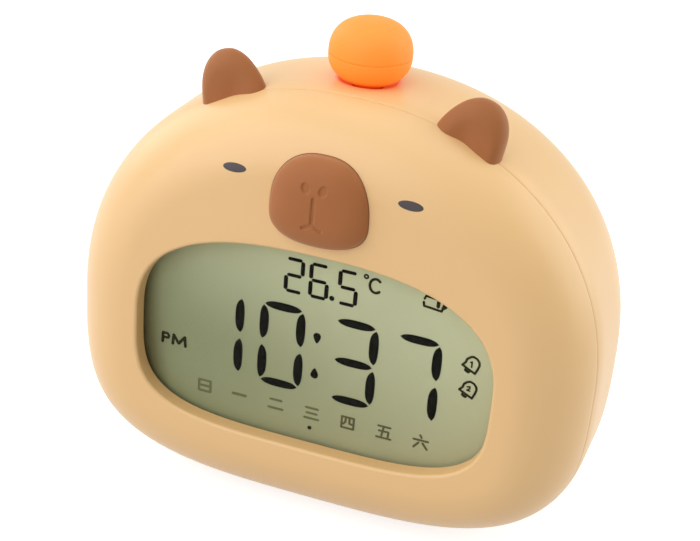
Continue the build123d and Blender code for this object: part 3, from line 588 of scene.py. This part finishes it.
cuts += [prism(circle(x, z, WELL_RADIUS), 30.0, 53.0) for x, z in WELLS]
dish = [(radius, LAMP_LEVEL - z) for radius, z in lamp_arc(DISH) if NECK_HOLE < radius < 8.5][::-1]
cuts.append(turned([(NECK_HOLE, 97.0), (NECK_HOLE, dish[0][1])] + dish + [(dish[-1][0], 106.0)]))
carve(rear_shell, merged(cuts))


def back_label(word, x, z, size):
    """A word printed on the back wall."""
    name = "label_" + word.lower()
    curve = bpy.data.curves.new(name, "FONT")
    curve.body = word
    curve.size = size * MM
    curve.align_x = "CENTER"
    curve.extrude = 0.02 * MM
    holder = bpy.data.objects.new(name, curve)
    bpy.context.scene.collection.objects.link(holder)
    bpy.context.view_layer.update()
    mesh = bpy.data.meshes.new_from_object(holder.evaluated_get(bpy.context.evaluated_depsgraph_get()))
    bpy.data.objects.remove(holder)
    back_wall = (FACE_Y + CASE_DEPTH + 0.01) * MM
    mesh.transform(Matrix.Translation((x * MM, back_wall, z * MM)) @ Matrix.Rotation(pi, 4, "Z")
                   @ Matrix.Rotation(pi / 2, 4, "X"))
    mesh.materials.clear()
    mesh.materials.append(mark_brown)
    piece = bpy.data.objects.new(name, mesh)
    bpy.context.scene.collection.objects.link(piece)
    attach(piece, "case")


for word, x in KEY_PLACES.items():
    back_label(word, x, 69.0, 2.2)
back_label("OFF", 24.6, 62.2, 1.8)
back_label("ON", 15.4, 62.2, 1.8)

tubes = []
for x, z in WELLS:
    section = ((3.5, 20.0), (3.5, 47.0), (WELL_RADIUS, 47.0), (WELL_RADIUS, 20.0))
    rings = [at_depth(circle(x, z, radius), depth) for radius, depth in section]
    tubes.append(lattice(rings, closed=True))
build("screw_wells", *merged(tubes), finishes["cream_shell"], "cream_shell", "case")


# ---------------------------------------------------------------- eyes, nose, ears

def skin_depth(x, z):
    """Depth of the smooth front surface in front of a point."""
    low, high = 0.0, FRONT_ACROSS
    angle = np.array([np.arctan2(z - HUB, x) % (2 * pi)])
    reach = hypot(x, z - HUB)
    for _ in range(30):
        middle = (low + high) / 2
        edge = egg(CASE, middle, angle, HUB)[0]
        if hypot(edge[0], edge[1] - HUB) > reach:
            low = middle
        else:
            high = middle
    if low > FRONT_ACROSS - 0.01:
        return 0.0
    return FRONT_DEEP * (1 - (1 - (1 - low / FRONT_ACROSS) ** 2) ** 0.5)


def eye_mesh(side):
    """A flat oval that follows the front surface and stands out of it a little."""
    centre_x, centre_z = side * 19.8, 86.5
    half_width, half_height = 2.75, 1.0
    rings = []
    turn = np.linspace(0, 2 * pi, 41)[:-1]
    lean = radians(-side * 3.5)
    for scale, lift in ((0.05, 0.05), (0.5, 0.05), (0.8, 0.05), (0.95, 0.045), (1.0, 0.0), (1.0, -0.8)):
        u, v = half_width * scale * np.cos(turn), half_height * scale * np.sin(turn)
        flat = np.column_stack([centre_x + u * cos(lean) - v * sin(lean),
                                centre_z + u * sin(lean) + v * cos(lean)])
        depth = np.array([skin_depth(x, z) for x, z in flat]) - lift
        rings.append(at_depth(flat, depth))
    return lattice(rings, capped=True)


def segment_distance(x, z, start, end):
    """Distance of points to a straight stroke."""
    ax, az = start
    dx, dz = end[0] - ax, end[1] - az
    along = np.clip(((x - ax) * dx + (z - az) * dz) / (dx * dx + dz * dz), 0, 1)
    return np.hypot(x - ax - along * dx, z - az - along * dz)


def nose_mesh():
    """The nose: a soft dome with nostrils, a line and a mouth pressed into it."""
    hub, root = 82.0, 0.2
    mouth_z, mouth_half_width = 79.2, 2.0
    nostril_x, nostril_z, nostril_lean = 1.95, 87.1, 25
    line_half_width, sink_edge, sink_deep = 0.42, 0.45, 0.4
    strokes = [((0, 85.0), (0, mouth_z))]
    strokes += [((0, mouth_z), (side * mouth_half_width, 78.1)) for side in (1, -1)]
    rim = egg(NOSE, 0.0, AROUND, hub)
    rings = [at_depth(rim, 5.0), at_depth(rim, 2.8), at_depth(rim, root)]
    shares = [cos(radians(90 * step / 110)) ** 0.8 for step in range(1, 110)] + [0.016, 0.004]
    for share in shares:
        flat = (rim - (0, hub)) * share + (0, hub)
        x, z = flat[:, 0], flat[:, 1]
        groove = np.full(len(flat), 9.0)
        for start, end in strokes:
            groove = np.minimum(groove, segment_distance(x, z, start, end) - line_half_width)
        for side in (-1, 1):
            lean = radians(-side * nostril_lean)
            across, up = x - side * nostril_x, z - nostril_z
            u = across * cos(lean) + up * sin(lean)
            v = -across * sin(lean) + up * cos(lean)
            groove = np.minimum(groove, (np.hypot(u / 0.9, v / 1.15) - 1) * 0.9)
        sink = np.clip(0.5 - groove / sink_edge, 0, 1)
        dome = root - (NOSE_PROUD + root) * (1 - share ** 3.0) ** 0.5
        rings.append(at_depth(flat, dome + sink_deep * sink * sink * (3 - 2 * sink)))
    return lattice(rings, capped=True)


def smooth_loop(points, per_span):
    """Closed curve through points, with even steps on each span."""
    points = np.asarray(points, float)
    result = []
    count = len(points)
    for index in range(count):
        before, start, end, after = (points[(index + shift) % count] for shift in (-1, 0, 1, 2))
        bend = 2 * before - 5 * start + 4 * end - after
        twist = 3 * start - before - 3 * end + after
        for step in range(per_span):
            t = step / per_span
            result.append(0.5 * (2 * start + (end - before) * t + bend * t * t + twist * t ** 3))
    return np.array(result)


# the shown edge of an ear runs from its inner base over the top to its outer base,
# and the hidden edge runs back inside the case
EAR_SHOWN = [(18.6, 96.5), (19.3, 99.2), (20.6, 101.6), (22.9, 104.2), (25.6, 106.1), (28.7, 106.8),
             (31.9, 105.7), (34.0, 103.1), (34.75, 99.5), (34.2, 95.0), (33.4, 91.5)]
EAR_HIDDEN = [(30.0, 88.5), (25.0, 90.0), (21.0, 93.0)]


def ear_mesh(side):
    """A soft pebble of an ear with a slight hollow low in its front."""
    per_span = 12
    loop = smooth_loop(EAR_SHOWN + EAR_HIDDEN, per_span)
    edge = loop[:(len(EAR_SHOWN) - 1) * per_span + 1]
    middle = np.array([27.2, 97.5])

    def depths(flat, towards_front):
        x, z = flat[:, 0], flat[:, 1]
        inside = np.full(len(flat), 99.0)
        for start, end in zip(edge[:-1], edge[1:]):
            inside = np.minimum(inside, segment_distance(x, z, start, end))
        plane = 14.4 + 0.09 * (x - 20) + 0.10 * (z - 97)
        if towards_front:
            reach = 2.6 + 0.28 * np.clip(z - 97, 0, 9)
            thick = 2.3 + 0.11 * (x - 23)
            hollow = 0.55 * np.exp(-((x - 25.9) / 2.6) ** 2 - ((z - 98.0) / 4.0) ** 2)
        else:
            reach, thick, hollow = 5.0, 3.4, 0.0
        full = np.sqrt(np.clip(1 - (1 - np.clip(inside / reach, 0, 1)) ** 2, 0, 1))
        lift = thick * full - hollow
        return plane - lift if towards_front else np.minimum(plane + lift, 19.0)

    rings = []
    for step in range(1, 29):
        flat = middle + (loop - middle) * sin(radians(90 * step / 28))
        rings.append(at_depth(flat, depths(flat, True)))
    for step in range(27, 0, -1):
        flat = middle + (loop - middle) * sin(radians(90 * step / 28))
        rings.append(at_depth(flat, depths(flat, False)))
    points, faces = lattice(rings, capped=True)
    return points * (side, 1, 1), faces


for side, word in ((-1, "left"), (1, "right")):
    build(f"eye_{word}_inlay", *eye_mesh(side), finishes["eye_black"], "eye_black", "case",
          [f"eye_{word}"])
    build(f"ear_{word}_shape", *ear_mesh(side), finishes["brown_ear"], "brown_ear", "case",
          [f"ear_{word}"], None)
build("nose_cap", *nose_mesh(), finishes["brown_nose"], "brown_nose", "nose", ["nose_button"], None)


# ---------------------------------------------------------------- night light

# radius and distance from the parting line, on its plane and over its soft edge
parting = [(0.05, 0.02), (9.0, 0.02), (9.18, 0.03), (9.24, 0.08)]
dome = parting + lamp_arc(DOME)[1:]
build("lamp_dome_shape", *turned([(r, LAMP_LEVEL + z) for r, z in dome]), finishes["lamp_dome_orange"],
      "lamp_dome_orange", "lamp", ["lamp_dome"], 60)
base = parting + [(r, z) for r, z in lamp_arc(BASE)[1:] if r > NECK]
base += [(NECK, base[-1][1] + 0.05), (NECK, LAMP_LEVEL - NECK_END)]
build("lamp_base_shape", *turned([(r, LAMP_LEVEL - z) for r, z in base]), finishes["lamp_base_orange"],
      "lamp_base_orange", "lamp", ["lamp_base"], 60)


# ---------------------------------------------------------------- display

INK_FRONT, INK_BACK = GLASS_DEPTH - 0.05, GLASS_DEPTH


def ink(name, outlines, look):
    """Printed or switched-on shapes on the front of the display, each a hair above the one before."""
    parts = [prism(np.asarray(flat, float), INK_FRONT - 0.0004 * order, INK_BACK)
             for order, flat in enumerate(outlines)]
    build(name, *merged(parts), look, "lcd_glass", "case")


def stroke(start, end, width):
    """A straight bar with round ends."""
    start, end = np.array(start, float), np.array(end, float)
    lean = np.arctan2(end[1] - start[1], end[0] - start[0])
    points = []
    for centre, base in ((end, lean - pi / 2), (start, lean + pi / 2)):
        for step in range(7):
            turn = base + pi * step / 6
            points.append(centre + width / 2 * np.array([cos(turn), sin(turn)]))
    return points


def lens_bar(centre, along, length, thick, bow=0.0):
    """A digit segment: pointed at both ends and fuller in the middle, more so on the side of its bow."""
    outline = []
    half = length / 2
    for side in (1, -1):
        for step in range(13):
            t = (-1 + 2 * step / 12) * side
            full = thick / 2 * (1 - abs(t) ** 3.0) ** 0.7
            outline.append((t * half, side * full * (1 + side * bow)))
    turn = radians(along)
    return [(centre[0] + u * cos(turn) - v * sin(turn), centre[1] + u * sin(turn) + v * cos(turn))
            for u, v in outline]


# level of a row of digits, and half the distance between its opposite segments
BIG_LEVEL, BIG_HALF_WIDTH, BIG_HALF_HEIGHT = 44.05, 4.67, 9.72
SMALL_LEVEL, SMALL_HALF_WIDTH, SMALL_HALF_HEIGHT = 62.1, 1.9, 3.9
# where a segment's middle is, in those halves, and its angle
SEGMENTS = {
    "top": (0, 1, 0), "middle": (0, 0, 0), "bottom": (0, -1, 0),
    "upper_left": (-1, 0.52, 90), "upper_right": (1, 0.52, 90),
    "lower_left": (-1, -0.52, 90), "lower_right": (1, -0.52, 90),
}
LIT = {
    0: ("top", "bottom", "upper_left", "upper_right", "lower_left", "lower_right"),
    1: ("upper_right", "lower_right"),
    2: ("top", "middle", "bottom", "upper_right", "lower_left"),
    3: ("top", "middle", "bottom", "upper_right", "lower_right"),
    5: ("top", "middle", "bottom", "upper_left", "lower_right"),
    6: ("top", "middle", "bottom", "upper_left", "lower_left", "lower_right"),
    7: ("top", "upper_right", "lower_right"),
}
big = []
for digit, centre_x in ((1, -22.97), (0, -8.25), (3, 9.05), (7, 23.6)):
    for word in LIT[digit]:
        across, up, turn = SEGMENTS[word]
        place = (centre_x + across * BIG_HALF_WIDTH, BIG_LEVEL + up * BIG_HALF_HEIGHT)
        if turn:
            big.append(lens_bar(place, turn, 8.5, 2.2, bow=0.25 * across))
        else:
            big.append(lens_bar(place, turn, 8.9, 2.0))
for height, towards in ((48.25, 1), (39.11, -1)):
    big.append(smooth_loop([(0.15, height - towards * 1.4), (1.05, height + towards * 0.2),
                            (0.7, height + towards * 1.05), (0.15, height + towards * 1.2),
                            (-0.4, height + towards * 1.05), (-0.75, height + towards * 0.2)], 6))
ink("big_digits", big, segment_black)

small = []
for digit, centre_x in ((2, -6.25), (6, -0.45), (5, 6.3)):
    for word in LIT[digit]:
        across, up, turn = SEGMENTS[word]
        x, z = centre_x + across * SMALL_HALF_WIDTH, SMALL_LEVEL + up * SMALL_HALF_HEIGHT
        if turn:
            small.append(stroke((x, z - 1.25), (x, z + 1.25), 0.95))
        else:
            small.append(stroke((x - 1.3, z), (x + 1.3, z), 0.8))
small.append(circle(2.81, 58.8, 0.6, 20))
ink("small_digits", small, segment_black)


def path_strokes(points, width):
    """A bar for each step of a path."""
    return [stroke(start, end, width) for start, end in zip(points[:-1], points[1:])]


def arc(x, z, radius_x, radius_z, start, end):
    """Points of an oval about (x, z) between two angles."""
    turns = [radians(start + (end - start) * step / 14) for step in range(15)]
    return [(x + radius_x * cos(turn), z + radius_z * sin(turn)) for turn in turns]


def bell(x, z):
    """A small tilted bell, from its left foot over the top to its right foot and back."""
    shape = [(-1.9, -2.4), (-1.2, -1.6), (-1.0, -0.8), (-0.3, -0.15), (0.4, 0.1), (1.25, -0.25),
             (1.8, -0.95), (1.9, -1.7), (1.6, -2.7), (1.1, -3.9), (-1.9, -2.4)]
    return [(x + u, z + v) for u, v in shape]


icons = path_strokes(arc(10.27, 65.97, 0.42, 0.42, 0, 360), 0.4)        # degree sign and C
icons += path_strokes(arc(12.55, 64.2, 1.35, 1.65, 48, 312), 0.62)
icons += path_strokes([(28.3, 64.3), (24.0, 64.75), (23.7, 64.0)], 0.5)   # battery
icons += path_strokes([(23.6, 63.2), (23.75, 62.3), (27.7, 61.9), (28.0, 62.7), (28.3, 64.3)], 0.55)
icons += path_strokes([(28.0, 62.7), (28.5, 63.1)], 0.8)
icons += path_strokes([(26.85, 62.85), (26.9, 63.9)], 0.8)
for level in (52.9, 46.75):
    icons += path_strokes(bell(35.55, level), 0.52)
    icons += path_strokes([(34.6, level - 3.45), (35.1, level - 3.7)], 0.95)
icons += path_strokes([(35.75, 50.4), (35.75, 51.7), (35.45, 51.5)], 0.34)     # 1 and 2 in the bells
icons += path_strokes([(35.3, 45.4), (35.9, 45.6), (35.95, 45.1), (35.35, 44.6), (36.0, 44.5)], 0.34)
icons.append(circle(0.0, 24.85, 0.5, 16))                               # dot under the weekday
ink("icons", icons, segment_half)

letters = path_strokes([(-37.5, 37.6), (-37.4, 39.9)], 0.75)
letters += path_strokes([(-37.4, 39.9), (-36.3, 39.9), (-35.9, 39.35), (-36.1, 38.8), (-37.4, 38.7)],
                        0.65)
letters += path_strokes([(-34.9, 37.6), (-34.7, 39.9), (-33.4, 38.0), (-31.9, 39.9), (-31.7, 37.6)],
                        0.72)
ink("half_day_letters", letters, segment_half)


DAY_LEVEL = 28.7
DAY_WIDE, DAY_HIGH = 1.2, 1.22   # scale of the strokes below


def day_marks(x, width, *lines):
    """The strokes of one weekday character about its middle."""
    marks = []
    for line in lines:
        marks += path_strokes([(x + DAY_WIDE * u, DAY_LEVEL + DAY_HIGH * v) for u, v in line], width)
    return marks


def level_line(half, height):
    """A level stroke about the middle."""
    return [(-half, height), (half, height)]


BOX = [(-1.2, -1.15), (-1.2, 1.15), (1.2, 1.15), (1.2, -1.15), (-1.2, -1.15)]
faint = day_marks(-26.4, 0.6, BOX, level_line(1.2, 0))
faint += day_marks(-17.7, 0.7, level_line(1.3, 0))
faint += day_marks(-8.6, 0.6, level_line(1.1, 0.9), level_line(1.4, -0.9))
faint += day_marks(0.25, 0.56, level_line(1.2, 1.1), level_line(1.0, 0), level_line(1.4, -1.1))
ink("weekdays_left", faint, segment_faint)
fuller = day_marks(9.0, 0.52, BOX, [(-0.4, 1.15), (-0.45, 0.1), (-0.9, -0.4)],
                   [(0.35, 1.15), (0.35, -0.1), (0.9, -0.2)])
fuller += day_marks(17.7, 0.5, level_line(1.2, 1.2), [(-0.1, 1.2), (-0.5, -1.2)],
                    [(-1.0, 0.2), (0.9, 0.2), (0.8, -1.2)], level_line(1.4, -1.2))
fuller += day_marks(26.4, 0.52, [(-0.2, 1.4), (0.1, 0.9)], level_line(1.4, 0.35),
                    [(-0.4, -0.2), (-1.3, -1.3)], [(0.4, -0.2), (1.3, -1.3)])
ink("weekdays_right", fuller, segment_weak)


# ---------------------------------------------------------------- stage

def area_lamp(name, place, target, size, power, colour=(1, 1, 1)):
    """A square or oblong lamp that looks at a target, in metres and watts."""
    lamp = bpy.data.lights.new(name, "AREA")
    lamp.shape = "RECTANGLE"
    lamp.size, lamp.size_y = size
    lamp.energy = power
    lamp.color = colour
    holder = bpy.data.objects.new(name, lamp)
    bpy.context.scene.collection.objects.link(holder)
    aim = Vector(target) - Vector(place)
    holder.location = place
    holder.rotation_euler = aim.to_track_quat("-Z", "Y").to_euler()


def seen_straight(nodes, links):
    """1 for rays from the camera, a gloss or a clear piece, and 0 for the light on the object."""
    path = nodes.new("ShaderNodeLightPath")
    total = path.outputs["Is Camera Ray"]
    for word in ("Is Glossy Ray", "Is Transmission Ray"):
        both = nodes.new("ShaderNodeMath")
        both.operation = "ADD"
        both.use_clamp = True
        links.new(total, both.inputs[0])
        links.new(path.outputs[word], both.inputs[1])
        total = both.outputs["Value"]
    return total


def floor_finish():
    """Grey for the lamps, so that it keeps the shadow, and lifted to white for the camera."""
    material = bpy.data.materials.new("floor")
    material.use_nodes = True
    nodes, links = material.node_tree.nodes, material.node_tree.links
    nodes.clear()
    output = nodes.new("ShaderNodeOutputMaterial")
    matte = nodes.new("ShaderNodeBsdfDiffuse")
    matte.inputs["Color"].default_value = (0.6, 0.6, 0.6, 1)
    glow = nodes.new("ShaderNodeEmission")
    links.new(scaled(nodes, links, seen_straight(nodes, links), 0.75), glow.inputs["Strength"])
    both = nodes.new("ShaderNodeAddShader")
    links.new(matte.outputs["BSDF"], both.inputs[0])
    links.new(glow.outputs["Emission"], both.inputs[1])
    links.new(both.outputs["Shader"], output.inputs["Surface"])
    return material


bpy.ops.mesh.primitive_plane_add(size=6.0, location=(0, 0, 0))
floor = bpy.context.object
floor.name = "floor"
floor.data.materials.append(floor_finish())

world = bpy.data.worlds.new("studio")
world.use_nodes = True
nodes, links = world.node_tree.nodes, world.node_tree.links
fill = nodes["Background"]
backdrop = nodes.new("ShaderNodeBackground")
choice = nodes.new("ShaderNodeMixShader")
fill.inputs["Color"].default_value = (1, 0.98, 0.91, 1)
fill.inputs["Strength"].default_value = 0.34
backdrop.inputs["Color"].default_value = (1, 1, 1, 1)
links.new(seen_straight(nodes, links), choice.inputs["Fac"])
links.new(fill.outputs["Background"], choice.inputs[1])
links.new(backdrop.outputs["Background"], choice.inputs[2])
links.new(choice.outputs["Shader"], nodes["World Output"].inputs["Surface"])
bpy.context.scene.world = world

area_lamp("key", (-0.45, -0.62, 0.55), (0, 0, 0.05), (1.1, 1.1), 6.7, (1.0, 0.995, 1.1))
area_lamp("edge", (-0.70, 0.25, 0.45), (-0.03, 0, 0.07), (0.5, 0.8), 1.8)
area_lamp("top", (0.05, 0.05, 0.80), (0, 0, 0.05), (0.6, 0.6), 1.3)
area_lamp("side", (0.65, 0.35, 0.35), (0.05, 0.02, 0.06), (0.8, 0.8), 3.8)


# ---------------------------------------------------------------- camera

FOCAL, PHOTO_WIDTH = 1616.42, 700     # in pixels
SENSOR = 36.0
azimuth, elevation, roll = radians(18.151), radians(26.049), radians(4.997)
distance, target = 0.34304, Vector((0.00803, FACE_Y * MM, 0.06899))
back = Vector((sin(azimuth) * cos(elevation), -cos(azimuth) * cos(elevation), sin(elevation)))
right = Vector((cos(azimuth), sin(azimuth), 0))
up = back.cross(right)
camera_data = bpy.data.cameras.new("camera")
camera_data.sensor_width = SENSOR
camera_data.lens = FOCAL * SENSOR / PHOTO_WIDTH
camera_data.clip_start = 0.01
camera = bpy.data.objects.new("camera", camera_data)
bpy.context.scene.collection.objects.link(camera)
across = right * cos(roll) + up * sin(roll)
upright = -right * sin(roll) + up * cos(roll)
turn = Matrix((across, upright, back)).transposed()
camera.matrix_world = Matrix.Translation(target + back * distance) @ turn.to_4x4()
bpy.context.scene.camera = camera
bpy.context.scene.view_settings.view_transform = "Standard"

bpy.context.view_layer.update()
